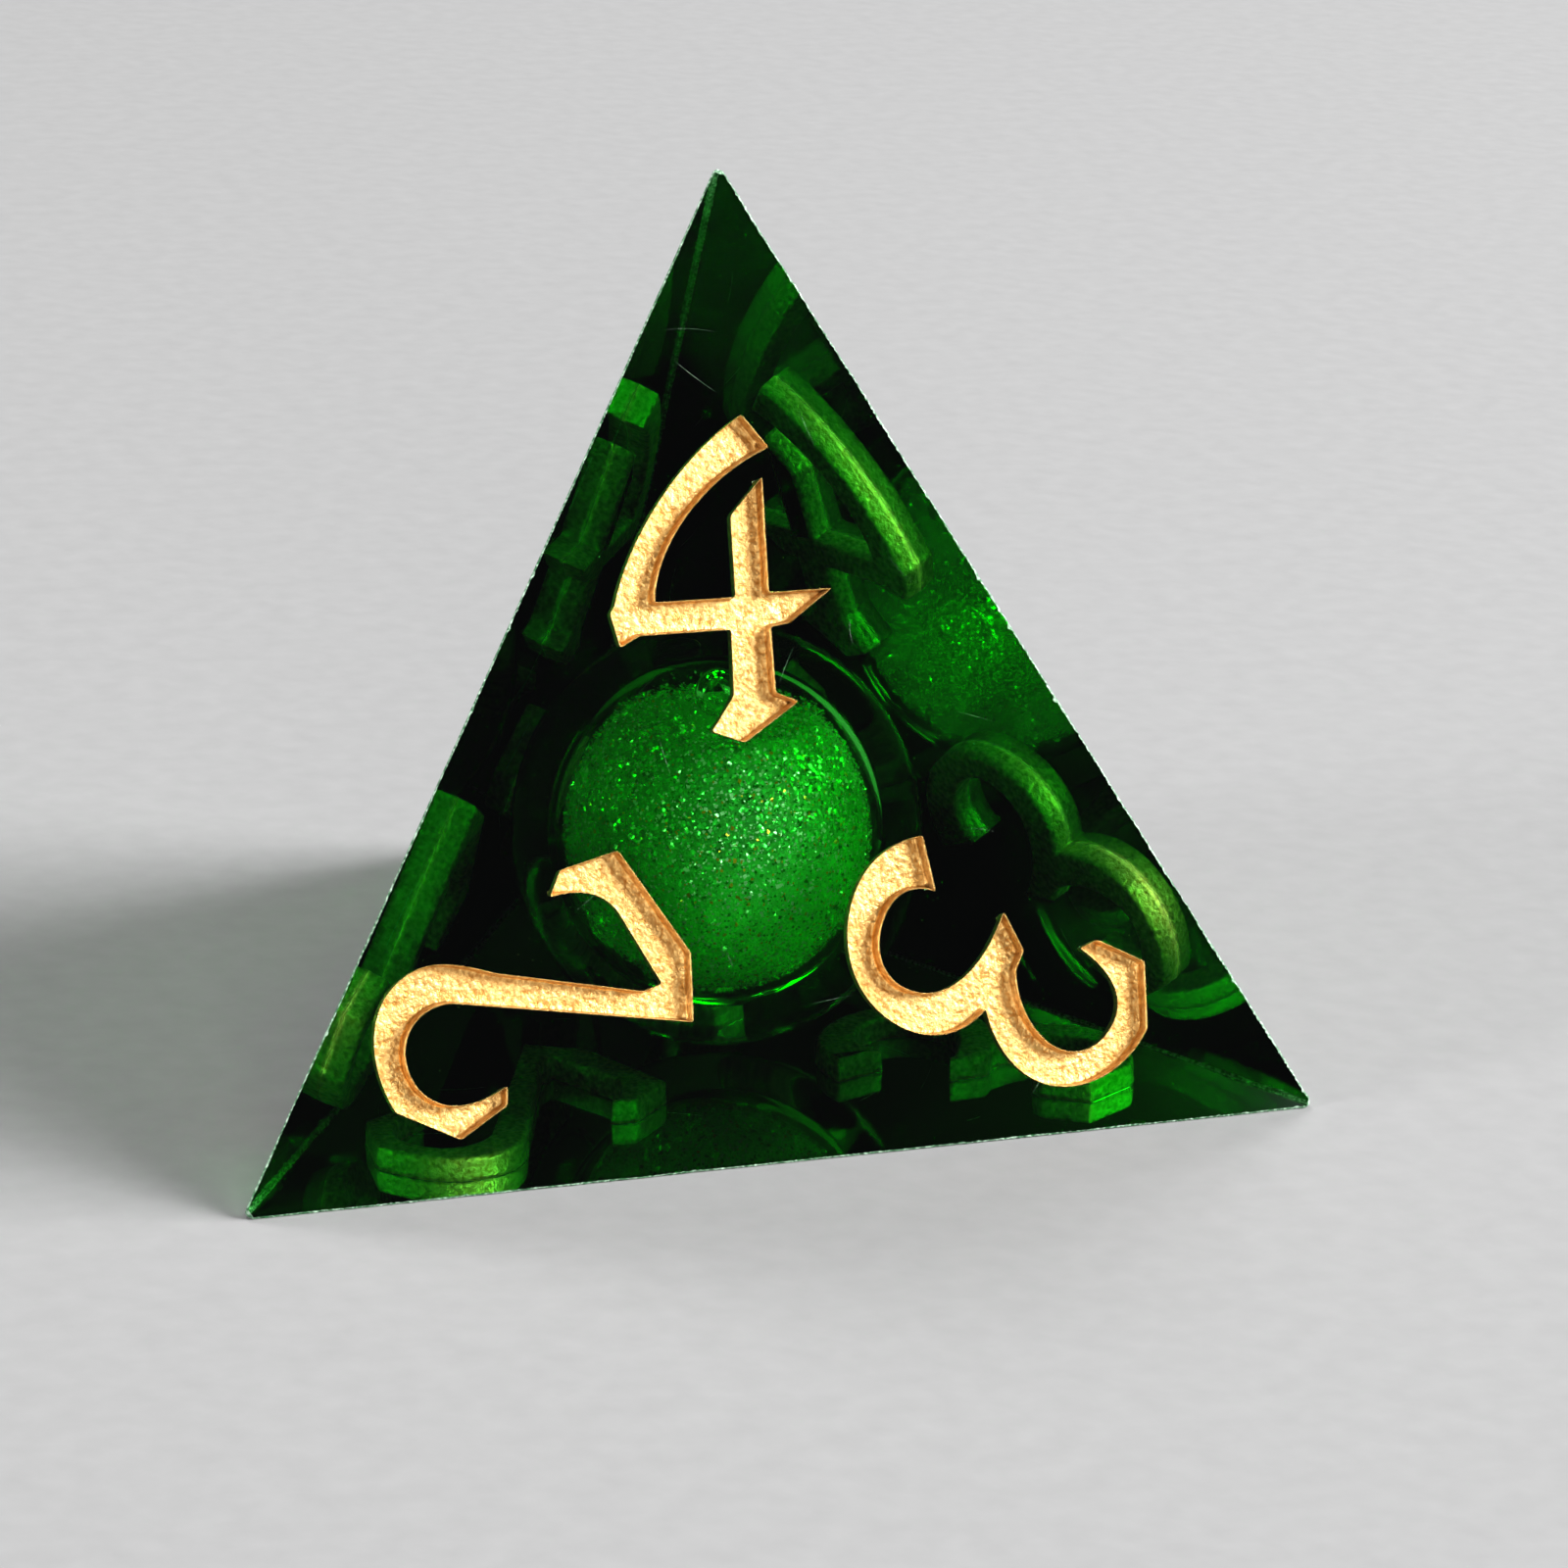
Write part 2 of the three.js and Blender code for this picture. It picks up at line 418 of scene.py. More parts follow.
def make_piece(name, bm, materials):
    mesh = bpy.data.meshes.new(name)
    bm.to_mesh(mesh)
    bm.free()
    for material in materials:
        mesh.materials.append(material)
    piece = bpy.data.objects.new(name, mesh)
    bpy.context.scene.collection.objects.link(piece)
    return piece


def new_material(name):
    """A bare material: its node tree, its main shader, and a way to add a node to it."""
    material = bpy.data.materials.new(name)
    material.use_nodes = True
    tree = material.node_tree
    tree.nodes.clear()
    output = tree.nodes.new("ShaderNodeOutputMaterial")
    shader = tree.nodes.new("ShaderNodeBsdfPrincipled")
    tree.links.new(shader.outputs["BSDF"], output.inputs["Surface"])

    def add(kind, **settings):
        node = tree.nodes.new(kind)
        for key, value in settings.items():
            if hasattr(node, key):
                setattr(node, key, value)
            else:
                node.inputs[key.replace("_", " ")].default_value = value
        return node

    def link(source, target):
        tree.links.new(source, target)

    return material, shader, output, add, link


def polished_resin():
    """Deep green resin: clear, with a polish that varies a little from place to place."""
    material, shader, output, add, link = new_material("polished_green_resin")
    shader.inputs["Base Color"].default_value = (1, 1, 1, 1)
    shader.inputs["Transmission Weight"].default_value = 1
    # Against air the resin bends light. Against the acrylic core ball it hardly does.
    wall = add("ShaderNodeAttribute", attribute_name="socket_wall")
    bend = add("ShaderNodeMapRange")
    bend.inputs["To Min"].default_value = 1.5
    bend.inputs["To Max"].default_value = 1.01
    link(wall.outputs["Fac"], bend.inputs["Value"])
    link(bend.outputs["Result"], shader.inputs["IOR"])
    absorb = add("ShaderNodeVolumeAbsorption")
    absorb.inputs["Color"].default_value = (0.03, 0.81, 0.09, 1)
    absorb.inputs["Density"].default_value = 1600
    link(absorb.outputs["Volume"], output.inputs["Volume"])
    where = add("ShaderNodeTexCoord")
    smear = add("ShaderNodeTexNoise", Scale=900.0, Detail=3.0)
    link(where.outputs["Object"], smear.inputs["Vector"])
    gloss = add("ShaderNodeMapRange")
    gloss.inputs["From Min"].default_value = 0.45
    gloss.inputs["From Max"].default_value = 0.85
    gloss.inputs["To Min"].default_value = 0.012
    gloss.inputs["To Max"].default_value = 0.09
    link(smear.outputs["Fac"], gloss.inputs["Value"])
    sealed = add("ShaderNodeMath", operation="SUBTRACT")
    sealed.use_clamp = True
    link(gloss.outputs["Result"], sealed.inputs[0])
    link(wall.outputs["Fac"], sealed.inputs[1])
    link(sealed.outputs["Value"], shader.inputs["Roughness"])
    return material


def frosted_resin():
    """The same resin where it was sanded and chipped: pale, rough and sparkling."""
    material, shader, output, add, link = new_material("frosted_resin_edge")
    where = add("ShaderNodeTexCoord")
    grit = add("ShaderNodeTexNoise", Scale=14000.0, Detail=4.0)
    link(where.outputs["Object"], grit.inputs["Vector"])
    tone = add("ShaderNodeValToRGB")
    tone.color_ramp.elements[0].position = 0.42
    tone.color_ramp.elements[0].color = (0.02, 0.10, 0.035, 1)
    tone.color_ramp.elements[1].position = 0.68
    tone.color_ramp.elements[1].color = (0.36, 0.50, 0.38, 1)
    link(grit.outputs["Fac"], tone.inputs["Fac"])
    link(tone.outputs["Color"], shader.inputs["Base Color"])
    shader.inputs["Roughness"].default_value = 0.42
    bump = add("ShaderNodeBump")
    bump.inputs["Strength"].default_value = 0.8
    bump.inputs["Distance"].default_value = 0.03 * mm
    link(grit.outputs["Fac"], bump.inputs["Height"])
    link(bump.outputs["Normal"], shader.inputs["Normal"])
    return material


frosted = frosted_resin()
resin_body = make_piece("resin_body", resin_mesh, [polished_resin(), frosted])
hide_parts("resin_first_pour", "resin_second_pour")
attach(resin_body, "die")


# ---- Hairline scratches ------------------------------------------------------------
# Fine scratches in the polish, left by handling and by rolling against other dice. They are
# scattered over all four faces, and one that would run off the edge of a face is left out.
scratches_per_face = 14
scratch_steps = 8
start_margin = 0.6
end_margin = 0.2
scratch_mesh = bmesh.new()
for face in faces:
    for stroke in range(scratches_per_face):
        number = polisher.choice(faces[face])
        place = numeral_place(face, number)
        reach_up = polisher.uniform(-3.0, 9.6)
        half_width = (corner_reach / mm - reach_up) * side_slope - start_margin
        across = polisher.uniform(-half_width, half_width)
        heading = polisher.gauss(2.2, 0.5)
        bend = polisher.uniform(-0.25, 0.25)
        length = polisher.uniform(0.25, 1.3)
        thickness = polisher.uniform(0.002, 0.005)
        end_across = across + length * math.cos(heading + bend)
        end_up = reach_up + length * math.sin(heading + bend)
        if abs(end_across) > (corner_reach / mm - end_up) * side_slope - end_margin:
            continue
        groove = []
        for step in range(scratch_steps + 1):
            t = step / scratch_steps
            turn = heading + bend * t
            along = Vector((across + length * t * math.cos(turn),
                            reach_up + length * t * math.sin(turn)))
            swell = thickness * math.sin(math.pi * (0.06 + 0.88 * t)) / 2
            aside = Vector((-math.sin(turn), math.cos(turn))) * swell
            spots = ((along + aside, 0.0), (along, 0.001), (along - aside, 0.0), (along, -0.003))
            ring = []
            for spot, level in spots:
                point = Vector((spot.x * mm, spot.y * mm, level * mm))
                ring.append(scratch_mesh.verts.new(place @ point))
            groove.append(ring)
        for upper, lower in zip(groove, groove[1:]):
            bridge(scratch_mesh, upper, lower, smooth=False)
        scratch_mesh.faces.new(groove[0])
        scratch_mesh.faces.new(list(reversed(groove[-1])))
bmesh.ops.recalc_face_normals(scratch_mesh, faces=scratch_mesh.faces)
scratches = make_piece("hairline_scratches", scratch_mesh, [frosted])
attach(scratches, "die")


# ---- Core ball ---------------------------------------------------------------------
# A hollow ball of clear acrylic, moulded as two half domes and cemented at the middle. It
# lies in the resin with no air around it, so that only its rims and inner wall show.
liquid_low, liquid_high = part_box("core_liquid")
cavity_radius = (liquid_high.x - liquid_low.x) / 2 + 0.03 * mm


def clear_acrylic():
    material, shader, output, add, link = new_material("clear_acrylic")
    shader.inputs["Base Color"].default_value = (1, 1, 1, 1)
    shader.inputs["Transmission Weight"].default_value = 1
    shader.inputs["IOR"].default_value = 1.04
    where = add("ShaderNodeTexCoord")
    flow = add("ShaderNodeTexNoise", Scale=500.0, Detail=2.0)
    link(where.outputs["Object"], flow.inputs["Vector"])
    gloss = add("ShaderNodeMapRange")
    gloss.inputs["To Min"].default_value = 0.0
    gloss.inputs["To Max"].default_value = 0.03
    link(flow.outputs["Fac"], gloss.inputs["Value"])
    link(gloss.outputs["Result"], shader.inputs["Roughness"])
    return material


core_mesh = bmesh.new()
add_ball(core_mesh, shell_radius, core_centre)
add_ball(core_mesh, cavity_radius, core_centre, inside_out=True)
core_ball = make_piece("core_ball", core_mesh, [clear_acrylic()])
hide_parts("core_shell_lower", "core_shell_upper")
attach(core_ball, "die")


# ---- Fill plug ---------------------------------------------------------------------
# A drop of clear resin that closes the hole through which the core was filled. It cures
# flush with the outside of the ball and hangs a little proud of its inside.
plug_low, plug_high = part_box("core_fill_plug")
plug_middle = (plug_low + plug_high) / 2
plug_axis = (plug_middle - core_centre).normalized()
plug_radius = 0.5 * mm
plug_mesh = bmesh.new()
plug_turn = plug_axis.to_track_quat("Z", "Y").to_matrix().to_4x4()
plug_place = Matrix.Translation(core_centre) @ plug_turn
plug_profile = (
    (0.55, shell_radius - 0.03 * mm),
    (0.95, shell_radius - 0.05 * mm),
    (1.0, shell_radius - 0.12 * mm),
    (1.0, cavity_radius + 0.12 * mm),
    (0.9, cavity_radius + 0.04 * mm),
    (0.5, cavity_radius + 0.02 * mm),
)
plug_rings = []
for share, level in plug_profile:
    circle = []
    for step in range(32):
        angle = math.tau * step / 32
        circle.append(Vector((math.cos(angle), math.sin(angle))) * plug_radius * share)
    plug_rings.append(add_ring(plug_mesh, circle, level, plug_place))
for upper, lower in zip(plug_rings, plug_rings[1:]):
    bridge(plug_mesh, upper, lower)
plug_mesh.faces.new(plug_rings[0])
plug_mesh.faces.new(list(reversed(plug_rings[-1])))
bmesh.ops.recalc_face_normals(plug_mesh, faces=plug_mesh.faces)


def cured_drop():
    material, shader, output, add, link = new_material("cured_clear_drop")
    shader.inputs["Base Color"].default_value = (1, 1, 1, 1)
    shader.inputs["Transmission Weight"].default_value = 1
    shader.inputs["IOR"].default_value = 1.03
    where = add("ShaderNodeTexCoord")
    cloud = add("ShaderNodeTexNoise", Scale=2600.0, Detail=2.0)
    link(where.outputs["Object"], cloud.inputs["Vector"])
    gloss = add("ShaderNodeMapRange")
    gloss.inputs["To Max"].default_value = 0.1
    link(cloud.outputs["Fac"], gloss.inputs["Value"])
    link(gloss.outputs["Result"], shader.inputs["Roughness"])
    return material


fill_plug = make_piece("fill_plug", plug_mesh, [cured_drop()])
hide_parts("core_fill_plug")
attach(fill_plug, "die")


# ---- Air bubble --------------------------------------------------------------------
# The air left in the ball when it was filled and plugged. It gathers in one round bubble at
# the top of the oil, with three tiny ones beside it.
bubble_radius = 0.47 * mm
bubble_centre = core_centre + Vector((0, 0, cavity_radius - 0.03 * mm - bubble_radius))


def bubble_skin():
    material, shader, output, add, link = new_material("bubble_skin")
    shader.inputs["Base Color"].default_value = (1, 1, 1, 1)
    shader.inputs["Transmission Weight"].default_value = 1
    shader.inputs["IOR"].default_value = 1.45
    shader.inputs["Roughness"].default_value = 0.0
    return material


bubble_mesh = bmesh.new()
add_ball(bubble_mesh, bubble_radius, bubble_centre, inside_out=True, segments=48, rings=32)
tiny_bubbles = (
    ((0.62, 0.1, -0.12), 0.11),
    ((-0.58, 0.2, -0.1), 0.07),
    ((0.3, -0.5, -0.14), 0.05),
)
for offset, radius in tiny_bubbles:
    add_ball(bubble_mesh, radius * mm, bubble_centre + Vector(offset) * mm, inside_out=True,
             segments=24, rings=16)
air_bubble = make_piece("air_bubble", bubble_mesh, [bubble_skin()])
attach(air_bubble, "core_contents")


# ---- Pinprick bubbles --------------------------------------------------------------
# Pinprick bubbles of air that the resin kept when it was poured. They hang all through the
# body, clear of the core ball, of the faces and of the engraved numerals.
pinprick_count = 260
ball_clearance = 0.1 * mm
face_clearance = 0.6 * mm
pinprick_mesh = bmesh.new()
pinpricks_made = 0
while pinpricks_made < pinprick_count:
    shares = [polisher.expovariate(1) for number in corners]
    spot = Vector()
    for share, corner in zip(shares, corners.values()):
        spot += corner * (share / sum(shares))
    depth = min(share / sum(shares) for share in shares) * height
    clear_of_ball = (spot - core_centre).length > shell_radius + ball_clearance
    if clear_of_ball and depth > face_clearance:
        made = bmesh.ops.create_icosphere(pinprick_mesh, subdivisions=2,
                                          matrix=Matrix.Translation(spot),
                                          radius=polisher.choice((0.010, 0.014, 0.020)) * mm)
        for tiny in {item for vert in made["verts"] for item in vert.link_faces}:
            tiny.smooth = True
            tiny.normal_flip()
        pinpricks_made += 1
pinpricks = make_piece("pinprick_bubbles", pinprick_mesh, [bubble_skin()])
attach(pinpricks, "die")


# ---- Carrier liquid and its loose flakes -------------------------------------------
# Thin clear oil that all but fills the ball. It shows only by what hangs in it: a few loose
# flakes of mica that drift above the glitter, around the air bubble.
def add_flake(bm, layer, centre, normal, size, colour, maker):
    """One flake of mica: a thin closed chip with four uneven corners."""
    side = normal.orthogonal().normalized()
    other = normal.cross(side)
    twist = maker.uniform(0, math.tau)
    thickness = size * 0.012
    verts = []
    for step in range(4):
        angle = twist + math.tau / 4 * (step + maker.uniform(-0.25, 0.25))
        reach = size / 2 * maker.uniform(0.7, 1.2)
        lift = thickness if step % 2 else -thickness
        corner = (side * math.cos(angle) + other * math.sin(angle)) * reach + normal * lift
        verts.append(bm.verts.new(centre + corner))
    for a, b, c in ((0, 1, 3), (1, 2, 3), (0, 3, 2), (0, 2, 1)):
        facet = bm.faces.new((verts[a], verts[b], verts[c]))
        for corner in facet.loops:
            corner[layer] = colour


def random_direction(maker):
    z = maker.uniform(-1, 1)
    angle = maker.uniform(0, math.tau)
    flat = math.sqrt(1 - z * z)
    return Vector((flat * math.cos(angle), flat * math.sin(angle), z))


flake_colours = (
    ((0.92, 1.0, 0.94, 1), 5),
    ((0.30, 1.0, 0.40, 1), 9),
    ((1.0, 0.66, 0.14, 1), 1.5),
    ((0.05, 0.55, 0.08, 1), 4),
)


def flake_colour(maker):
    shades = [shade for shade, share in flake_colours]
    shares = [share for shade, share in flake_colours]
    return maker.choices(shades, shares)[0]


def mica_flake():
    material, shader, output, add, link = new_material("mica_flake")
    tint = add("ShaderNodeVertexColor", layer_name="flake_tint")
    link(tint.outputs["Color"], shader.inputs["Base Color"])
    shader.inputs["Metallic"].default_value = 0.4
    where = add("ShaderNodeTexCoord")
    grain = add("ShaderNodeTexNoise", Scale=9000.0, Detail=1.0)
    link(where.outputs["Object"], grain.inputs["Vector"])
    gloss = add("ShaderNodeMapRange")
    gloss.inputs["To Min"].default_value = 0.04
    gloss.inputs["To Max"].default_value = 0.22
    link(grain.outputs["Fac"], gloss.inputs["Value"])
    link(gloss.outputs["Result"], shader.inputs["Roughness"])
    return material


mica = mica_flake()
cloud_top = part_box("glitter_cloud")[1].z
loose_flake_count = 90
flake_shaker = random.Random(7)
loose_mesh = bmesh.new()
loose_layer = loose_mesh.loops.layers.color.new("flake_tint")
loose_made = 0
while loose_made < loose_flake_count:
    spot = random_direction(flake_shaker) * (cavity_radius - 0.1 * mm)
    spot = spot * flake_shaker.random() ** 0.15
    place_z = core_centre.z + spot.z
    clear_of_bubble = (core_centre + spot - bubble_centre).length > bubble_radius + 0.06 * mm
    if place_z > cloud_top + 0.03 * mm and clear_of_bubble:
        add_flake(loose_mesh, loose_layer, core_centre + spot, random_direction(flake_shaker),
                  flake_shaker.uniform(0.04, 0.1) * mm, flake_colour(flake_shaker), flake_shaker)
        loose_made += 1
loose_flakes = make_piece("loose_flakes", loose_mesh, [mica])
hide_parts("core_liquid")
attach(loose_flakes, "core_contents")


# ---- Glitter cloud -----------------------------------------------------------------
# Green mica so dense that it looks solid: a soft mass of fine powder with bigger silver,
# green and gold flakes all over it. It has settled below the top. Its colour holds painted
# light: brighter towards the bottom of the ball, past white there, and darker towards the top.
cloud_radius = cavity_radius - 0.2 * mm
surface_flake_count = 30000


def mica_powder():
    material, shader, output, add, link = new_material("mica_powder")
    where = add("ShaderNodeTexCoord")
    drift = add("ShaderNodeTexNoise", Scale=520.0, Detail=4.0)
    speck = add("ShaderNodeTexVoronoi", Scale=17000.0)
    link(where.outputs["Object"], drift.inputs["Vector"])
    link(where.outputs["Object"], speck.inputs["Vector"])
    body = add("ShaderNodeValToRGB")
    body.color_ramp.elements[0].position = 0.3
    body.color_ramp.elements[0].color = (0.04, 0.72, 0.06, 1)
    body.color_ramp.elements[1].position = 0.72
    body.color_ramp.elements[1].color = (0.16, 1.0, 0.20, 1)
    link(drift.outputs["Fac"], body.inputs["Fac"])
    sparkle = add("ShaderNodeMix", data_type="RGBA", blend_type="MULTIPLY")
    sparkle.inputs["Factor"].default_value = 0.3
    link(body.outputs["Color"], sparkle.inputs["A"])
    link(speck.outputs["Color"], sparkle.inputs["B"])
    upright = add("ShaderNodeSeparateXYZ")
    link(where.outputs["Object"], upright.inputs["Vector"])
    # Painted light: the colour is multiplied by 1.3 low in the ball and by 0.5 near its top, in place
    # of light reaching the lower part.
    painted_light_ramp = add("ShaderNodeMapRange")
    painted_light_ramp.inputs["From Min"].default_value = core_centre.z - cloud_radius * 0.55
    painted_light_ramp.inputs["From Max"].default_value = core_centre.z + cloud_radius * 0.25
    painted_light_ramp.inputs["To Min"].default_value = 1.3
    painted_light_ramp.inputs["To Max"].default_value = 0.5
    link(upright.outputs["Z"], painted_light_ramp.inputs["Value"])
    painted_light_mix = add("ShaderNodeMix", data_type="RGBA", blend_type="MULTIPLY")
    painted_light_mix.inputs["Factor"].default_value = 1.0
    link(sparkle.outputs["Result"], painted_light_mix.inputs["A"])
    link(painted_light_ramp.outputs["Result"], painted_light_mix.inputs["B"])
    link(painted_light_mix.outputs["Result"], shader.inputs["Base Color"])
    shader.inputs["Metallic"].default_value = 0.1
    shader.inputs["Specular IOR Level"].default_value = 0.1
    shader.inputs["Roughness"].default_value = 0.4
    bump = add("ShaderNodeBump")
    bump.inputs["Strength"].default_value = 0.7
    bump.inputs["Distance"].default_value = 0.03 * mm
    link(speck.outputs["Distance"], bump.inputs["Height"])
    link(bump.outputs["Normal"], shader.inputs["Normal"])
    return material


cloud_mesh = bmesh.new()
cloud_verts = add_ball(cloud_mesh, cloud_radius, core_centre, segments=128, rings=96)
cloud_ceiling = cloud_top - 0.1 * mm
ceiling_reach = math.sqrt(cloud_radius**2 - (cloud_ceiling - core_centre.z)**2)
for vert in cloud_verts:
    swell = noise.fractal(vert.co / mm * 0.9, 0.8, 2.1, 4)
    vert.co += (vert.co - core_centre).normalized() * (swell * 0.03 - 0.07) * mm
    if vert.co.z > cloud_ceiling:
        spill = vert.co.z - cloud_ceiling
        heap = noise.noise(vert.co / mm * 1.3) * 0.08 * mm
        vert.co.z = cloud_ceiling + heap + spill * 0.12
        flat = Vector((vert.co.x, vert.co.y, 0))
        flat_reach = min(flat.length, ceiling_reach)
        if flat.length > 0:
            flat = flat.normalized() * flat_reach
        vert.co.x = flat.x
        vert.co.y = flat.y
glitter_powder = make_piece("glitter_powder", cloud_mesh, [mica_powder()])
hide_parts("glitter_cloud")
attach(glitter_powder, "glitter")

flake_mesh = bmesh.new()
flake_layer = flake_mesh.loops.layers.color.new("flake_tint")
flakes_made = 0
while flakes_made < surface_flake_count:
    aim = random_direction(flake_shaker)
    reach = cloud_radius + flake_shaker.uniform(-0.06, 0.03) * mm
    spot = aim * reach
    tumble = flake_shaker.choice((0.15, 0.3, 0.9))
    normal = (aim + random_direction(flake_shaker) * tumble).normalized()
    if core_centre.z + spot.z > cloud_ceiling:
        level = math.sqrt(flake_shaker.random()) * 2.1 * mm
        angle = flake_shaker.uniform(0, math.tau)
        spot = Vector((level * math.cos(angle), level * math.sin(angle), 0))
        spot.z = cloud_ceiling - core_centre.z + flake_shaker.uniform(0.02, 0.12) * mm
        normal = (Vector((0, 0, 1)) + random_direction(flake_shaker) * 0.75).normalized()
    size = flake_shaker.choice((0.04, 0.05, 0.06, 0.07, 0.10)) * mm
    add_flake(flake_mesh, flake_layer, core_centre + spot, normal, size,
              flake_colour(flake_shaker), flake_shaker)
    flakes_made += 1
glitter_flakes = make_piece("glitter_flakes", flake_mesh, [mica])
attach(glitter_flakes, "glitter")


# ---- Gold numerals -----------------------------------------------------------------
# Metallic gold paint brushed into the engraved numerals, and wiped off the faces around
# them. It lines the floor and the walls of each recess and dries with a grainy skin.
def gold_paint():
    material, shader, output, add, link = new_material("grainy_gold_paint")
    where = add("ShaderNodeTexCoord")
    clump = add("ShaderNodeTexNoise", Scale=9000.0, Detail=3.0)
    pool = add("ShaderNodeTexNoise", Scale=1100.0, Detail=2.0)
    link(where.outputs["Object"], clump.inputs["Vector"])
    link(where.outputs["Object"], pool.inputs["Vector"])
    tone = add("ShaderNodeValToRGB")
    tone.color_ramp.elements[0].position = 0.3
    tone.color_ramp.elements[0].color = (0.42, 0.19, 0.035, 1)
    tone.color_ramp.elements[1].position = 0.7
    tone.color_ramp.elements[1].color = (0.80, 0.53, 0.19, 1)
    link(clump.outputs["Fac"], tone.inputs["Fac"])
    link(tone.outputs["Color"], shader.inputs["Base Color"])
    shader.inputs["Metallic"].default_value = 0.9
    gloss = add("ShaderNodeMapRange")
    gloss.inputs["From Min"].default_value = 0.3
    gloss.inputs["From Max"].default_value = 0.7
    gloss.inputs["To Min"].default_value = 0.40
    gloss.inputs["To Max"].default_value = 0.58
    link(pool.outputs["Fac"], gloss.inputs["Value"])
    link(gloss.outputs["Result"], shader.inputs["Roughness"])
    bump = add("ShaderNodeBump")
    bump.inputs["Strength"].default_value = 0.9
    bump.inputs["Distance"].default_value = 0.05 * mm
    link(clump.outputs["Fac"], bump.inputs["Height"])
    link(bump.outputs["Normal"], shader.inputs["Normal"])
    return material


gold = gold_paint()
paint_back = (
    (-0.007, 0.008),
    (0.002, 0.10),
    (0.008, 0.28),
    (0.018, 0.400),
    (0.050, 0.444),
    (0.100, 0.458),
)
paint_front = (
    (0.010, 0.012),
    (0.018, 0.05),
    (0.022, 0.18),
    (0.028, 0.255),
    (0.042, 0.278),
    (0.060, 0.284),
)
grain_step = 0.06


def inside(path, x, y):
    """Whether a spot lies inside a closed outline."""
    crossed = False
    for i, point in enumerate(path):
        before = path[i - 1]
        if (point.y > y) != (before.y > y):
            if x < (before.x - point.x) * (y - point.y) / (before.y - point.y) + point.x:
                crossed = not crossed
    return crossed


def grain_pattern(path, maker):
    """Spots scattered evenly over a numeral's floor, joined up with its border, in millimetres."""
    rim = [point / mm for point in path]
    close = move_in(rim, grain_step * 0.6)
    spots = list(rim)
    left = min(point.x for point in rim)
    right = max(point.x for point in rim)
    top = max(point.y for point in rim)
    y = min(point.y for point in rim)
    while y < top:
        x = left
        while x < right:
            spot = Vector((x + maker.uniform(-0.02, 0.02), y + maker.uniform(-0.02, 0.02)))
            if inside(close, spot.x, spot.y):
                spots.append(spot)
            x += grain_step
        y += grain_step
    meshed = geometry.delaunay_2d_cdt(spots, [], [list(range(len(rim)))], 1, 1e-6)
    return meshed[0], meshed[2], len(rim)


def grainy_floor(bm, pattern, rim_verts, level, place):
    """Lays the pattern as the paint's skin, with clumps that stand up and pits between them."""
    spots, triangles, rim_count = pattern
    verts = list(rim_verts)
    for spot in spots[rim_count:]:
        base = place @ Vector((spot.x * mm, spot.y * mm, level))
        grit = base / mm
        clump = noise.noise(grit * 7.5) + 0.7 * noise.noise(grit * 14.0)
        pool = noise.noise(grit * 1.6)
        rise = (0.015 * clump + 0.008 * pool) * mm
        verts.append(bm.verts.new(place @ Vector((spot.x * mm, spot.y * mm, level + rise))))
    for triangle in triangles:
        scale = bm.faces.new([verts[i] for i in triangle])
        scale.smooth = True


grain_shaker = random.Random(19)
grain_patterns = {}
for number, outline in numeral_outlines.items():
    floor_path = move_in(outline, paint_front[-1][0] * mm)
    grain_patterns[number] = grain_pattern(floor_path, grain_shaker)
for face, numbers in faces.items():
    outward = (face_centre(face) - core_centre).normalized()
    for number in numbers:
        place = numeral_place(face, number)
        outline = numeral_outlines[number]
        coat = bmesh.new()
        back = [add_ring(coat, move_in(outline, inset * mm), -depth * mm, place)
                for inset, depth in paint_back]
        front = [add_ring(coat, move_in(outline, inset * mm), -depth * mm, place)
                 for inset, depth in paint_front]
        for upper, lower in zip(back, back[1:]):
            bridge(coat, upper, lower)
        for upper, lower in zip(front, front[1:]):
            bridge(coat, lower, upper)
        bridge(coat, front[0], back[0])
        fill_flat(coat, ring_edges(coat, back[-1]), -outward)
        grainy_floor(coat, grain_patterns[number], front[-1], -paint_front[-1][1] * mm, place)
        bmesh.ops.recalc_face_normals(coat, faces=coat.faces)
        name = "numeral_" + face + "_" + str(number)
        numeral = make_piece("gold_" + name, coat, [gold])
        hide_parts(name)
        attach(numeral, "die")


# ---- Floor -------------------------------------------------------------------------
# A plain pale sheet that the die stands on for its portrait. It isn't part of the die.
floor_mesh = bmesh.new()
bmesh.ops.create_grid(floor_mesh, x_segments=2, y_segments=2, size=1.5)


def pale_sheet():
    material, shader, output, add, link = new_material("pale_sheet")
    where = add("ShaderNodeTexCoord")
    fibre = add("ShaderNodeTexNoise", Scale=1400.0, Detail=3.0)
    link(where.outputs["Object"], fibre.inputs["Vector"])
    tone = add("ShaderNodeValToRGB")
    tone.color_ramp.elements[0].color = (0.20, 0.20, 0.20, 1)
    tone.color_ramp.elements[1].color = (0.235, 0.235, 0.235, 1)
    link(fibre.outputs["Fac"], tone.inputs["Fac"])
    link(tone.outputs["Color"], shader.inputs["Base Color"])
    shader.inputs["Roughness"].default_value = 0.9
    shader.inputs["Specular IOR Level"].default_value = 0.0
    return material


floor = make_piece("floor", floor_mesh, [pale_sheet()])
floor.location.z = -0.00001


# ---- Light and camera --------------------------------------------------------------
# Soft boxes: a big one high on the right and a smaller one beside it, and weak ones in
# front, on the left and high behind. The camera has a long macro lens and looks a little down.
scene = bpy.context.scene


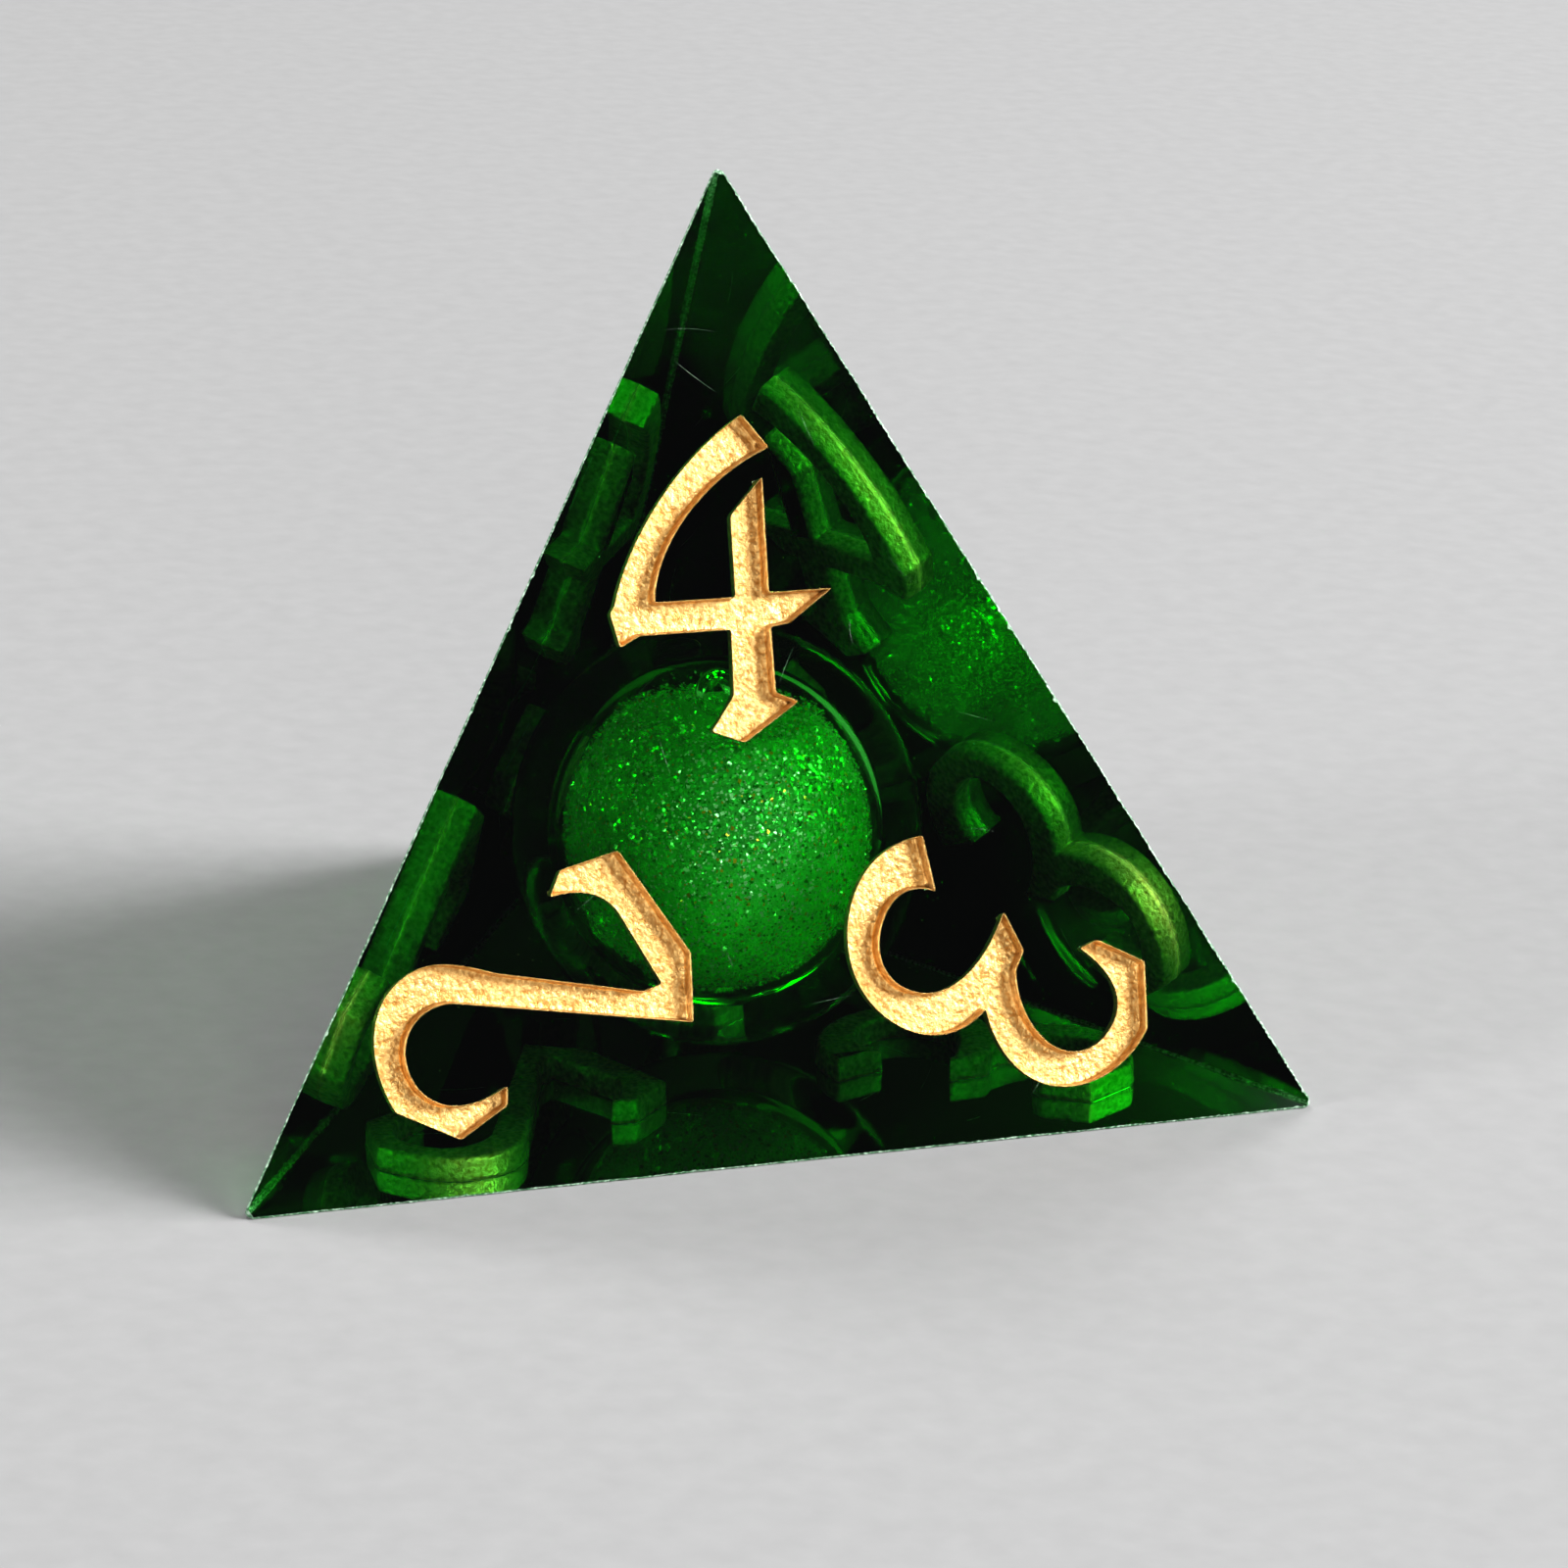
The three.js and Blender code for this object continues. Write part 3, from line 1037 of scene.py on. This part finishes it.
def soft_box(name, azimuth, elevation, distance, size, watts, colour=(1, 1, 1)):
    lamp = bpy.data.lights.new(name, "AREA")
    lamp.shape = "RECTANGLE"
    lamp.size = size[0]
    lamp.size_y = size[1]
    lamp.energy = watts
    lamp.color = colour
    a = math.radians(azimuth)
    e = math.radians(elevation)
    towards = Vector((math.sin(a) * math.cos(e), -math.cos(a) * math.cos(e), math.sin(e)))
    box = bpy.data.objects.new(name, lamp)
    box.location = core_centre + towards * distance
    box.rotation_euler = (-towards).to_track_quat("-Z", "Y").to_euler()
    scene.collection.objects.link(box)


soft_box("key_box", 58, 30, 0.75, (0.375, 0.375), 17.0)
soft_box("side_box", 84, 24, 0.75, (0.20, 0.25), 7.0)
soft_box("front_box", -15, 10, 0.75, (0.20, 0.15), 2.6)
soft_box("fill_box", -82, 14, 0.75, (0.175, 0.225), 5.0)
soft_box("back_box", -176, 52, 0.875, (0.30, 0.25), 6.25)

world = bpy.data.worlds.new("studio")
world.use_nodes = True
world.node_tree.nodes["Background"].inputs["Color"].default_value = (0.9, 0.95, 1.0, 1)
world.node_tree.nodes["Background"].inputs["Strength"].default_value = 0.06
scene.world = world

lens = bpy.data.cameras.new("macro_lens")
lens.sensor_width = 36
lens.lens = 134
lens.clip_start = 0.005
lens.clip_end = 20
camera = bpy.data.objects.new("camera", lens)
scene.collection.objects.link(camera)
camera_azimuth = math.radians(-22.65)
camera_elevation = math.radians(18.06)
camera_roll = math.radians(2.78)
camera_distance = 114.7 * mm
aim_at = core_centre + Vector((1.8, -0.4, 1.0)) * mm
back_off = Vector((math.sin(camera_azimuth) * math.cos(camera_elevation),
                   -math.cos(camera_azimuth) * math.cos(camera_elevation),
                   math.sin(camera_elevation)))
camera.location = aim_at + back_off * camera_distance
level = back_off.to_track_quat("Z", "Y").to_matrix().to_4x4()
camera.rotation_euler = (level @ Matrix.Rotation(camera_roll, 4, "Z")).to_euler()
scene.camera = camera

scene.view_settings.view_transform = "Standard"
scene.cycles.max_bounces = 24
scene.cycles.transmission_bounces = 24
scene.cycles.glossy_bounces = 12
